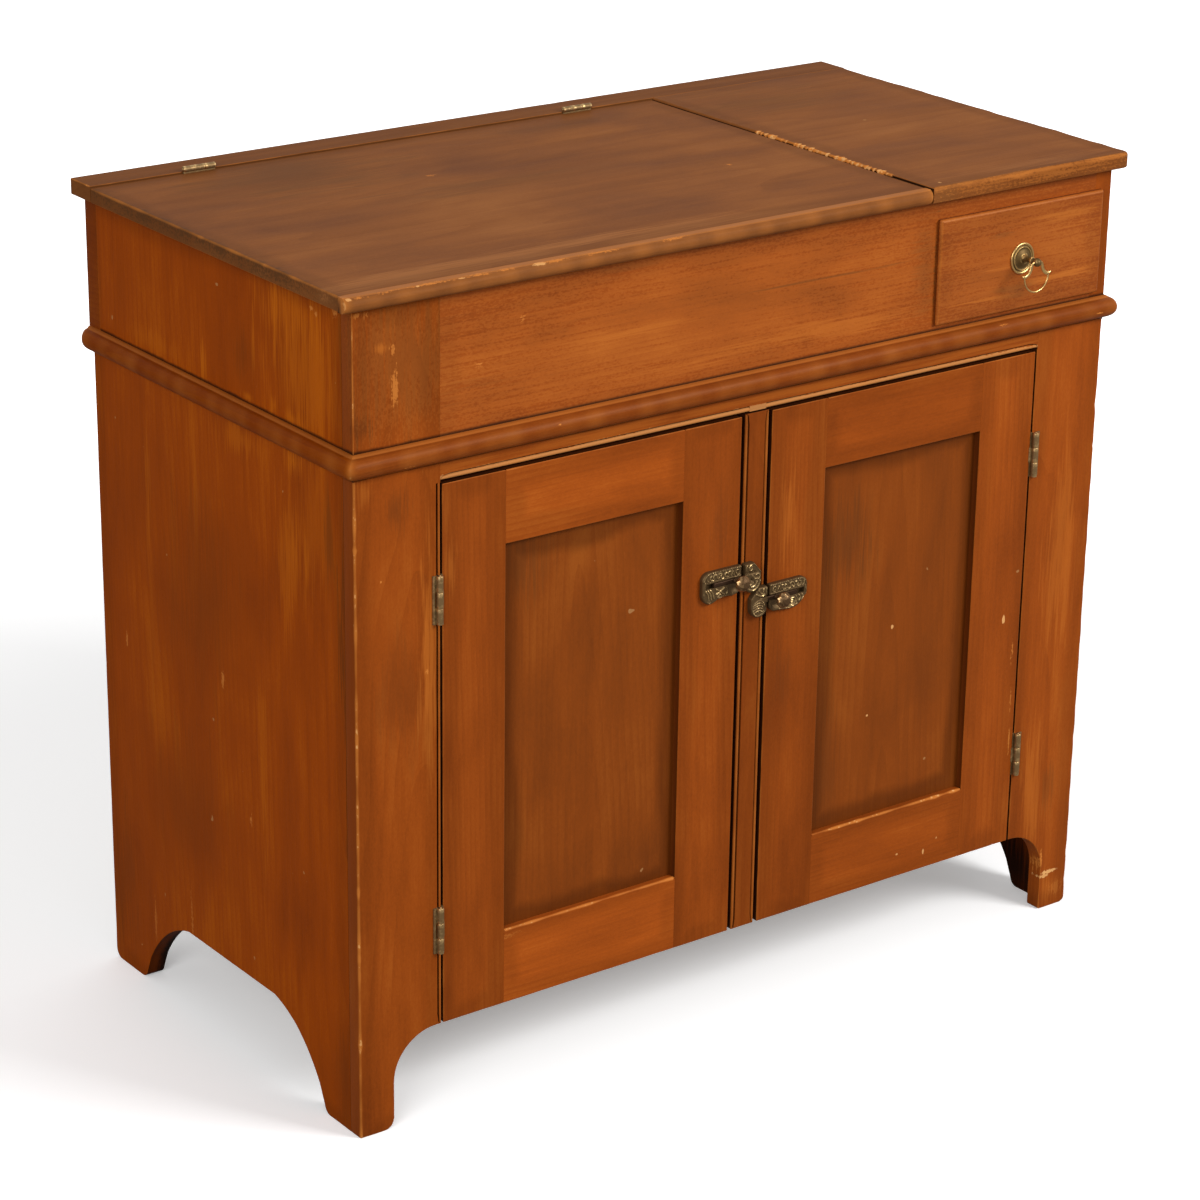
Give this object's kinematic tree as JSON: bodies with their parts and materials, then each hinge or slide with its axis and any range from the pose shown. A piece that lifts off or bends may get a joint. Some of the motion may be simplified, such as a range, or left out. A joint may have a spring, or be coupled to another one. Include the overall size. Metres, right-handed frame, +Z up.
{
  "type": "dry sink cabinet",
  "caption": "Wooden dry sink cabinet: hinged lid over a deep well, lipped drawer with a hanging bail pull, panelled cupboard doors with sliding catches, waist moulding and cut-out feet.",
  "frame": {"origin": "bottom centre of the whole piece, on the floor", "axes": "+Z up, front with doors and drawer faces -Y, +X to the right seen from the front"},
  "size_m": [1.005, 0.5466, 0.9007],
  "materials": {
    "front_wood": "old semi-gloss varnish, orange-brown",
    "side_wood": "old semi-gloss varnish, deeper orange-brown",
    "top_wood": "worn satin varnish, greyer brown",
    "inner_wood": "unfinished aged pine",
    "hinge_metal": "dull aged brass",
    "catch_metal": "dark bronzed casting, worn bright on the high places",
    "pull_metal": "old brass with dark hollows"
  },
  "bodies": {
    "carcase": {"stile_left": "front_wood", "stile_right": "front_wood", "center_mullion": "front_wood", "waist_rail": "front_wood", "well_front": "front_wood", "side_left": "side_wood", "side_right": "side_wood", "back_boards": "inner_wood", "upper_back": "side_wood", "well_floor": "inner_wood", "well_divider": "inner_wood", "cupboard_floor": "inner_wood", "cupboard_shelf": "inner_wood", "floor_cleats": "inner_wood", "shelf_cleats": "inner_wood", "well_cleats": "inner_wood", "waist_molding_front": "front_wood", "waist_molding_left": "front_wood", "waist_molding_right": "front_wood", "top_back_rail": "top_wood", "drawer_top": "top_wood", "drawer_runners": "inner_wood", "lid_rail_leaves": "hinge_metal", "door_left_frame_leaves": "hinge_metal", "door_right_frame_leaves": "hinge_metal", "catch_left_keeper": "catch_metal", "catch_right_keeper": "catch_metal"},
    "lid": {"lid_board": "top_wood", "lid_nosing": "top_wood", "lid_battens": "inner_wood", "lid_hinge_leaves": "hinge_metal", "lid_hinge_pins": "hinge_metal"},
    "drawer": {"drawer_front": "front_wood", "drawer_side_left": "inner_wood", "drawer_side_right": "inner_wood", "drawer_back": "inner_wood", "drawer_bottom": "inner_wood", "pull_rosette": "pull_metal", "pull_post": "pull_metal"},
    "bail": {"pull_bail": "pull_metal"},
    "door_left": {"door_left_hinge_stile": "front_wood", "door_left_latch_stile": "front_wood", "door_left_top_rail": "front_wood", "door_left_bottom_rail": "front_wood", "door_left_panel": "front_wood", "door_left_hinge_leaves": "hinge_metal", "door_left_hinge_pins": "hinge_metal", "catch_left_case": "catch_metal"},
    "bolt_left": {"catch_left_bolt": "catch_metal"},
    "door_right": {"door_right_hinge_stile": "front_wood", "door_right_latch_stile": "front_wood", "door_right_top_rail": "front_wood", "door_right_bottom_rail": "front_wood", "door_right_panel": "front_wood", "door_right_hinge_leaves": "hinge_metal", "door_right_hinge_pins": "hinge_metal", "catch_right_case": "catch_metal"},
    "bolt_right": {"catch_right_bolt": "catch_metal"}
  },
  "joints": [
    {"name": "lid_hinge", "type": "hinge", "parent": "carcase", "child": "lid", "pos_m": [0, 0.23135, 0.8975], "axis": [-1, 0, 0], "range_deg": [0, 110]},
    {"name": "door_left_hinge", "type": "hinge", "parent": "carcase", "child": "door_left", "pos_m": [-0.39065, -0.24165, 0.3945], "axis": [0, 0, -1], "range_deg": [0, 170]},
    {"name": "door_right_hinge", "type": "hinge", "parent": "carcase", "child": "door_right", "pos_m": [0.39465, -0.24165, 0.3945], "axis": [0, 0, 1], "range_deg": [0, 170]},
    {"name": "drawer_slide", "type": "slide", "parent": "carcase", "child": "drawer", "axis": [0, -1, 0], "range_m": [0, 0.3]},
    {"name": "pull_bail_swing", "type": "hinge", "parent": "drawer", "child": "bail", "pos_m": [0.3552, -0.26865, 0.7985], "axis": [-1, 0, 0], "range_deg": [-35, 215]},
    {"name": "catch_left_slide", "type": "slide", "parent": "door_left", "child": "bolt_left", "axis": [-1, 0, 0], "range_m": [0, 0.009], "stiffness_N_per_m": 400, "springref_m": -0.003},
    {"name": "catch_right_slide", "type": "slide", "parent": "door_right", "child": "bolt_right", "axis": [1, 0, 0], "range_m": [0, 0.009], "stiffness_N_per_m": 400, "springref_m": -0.003}
  ]
}
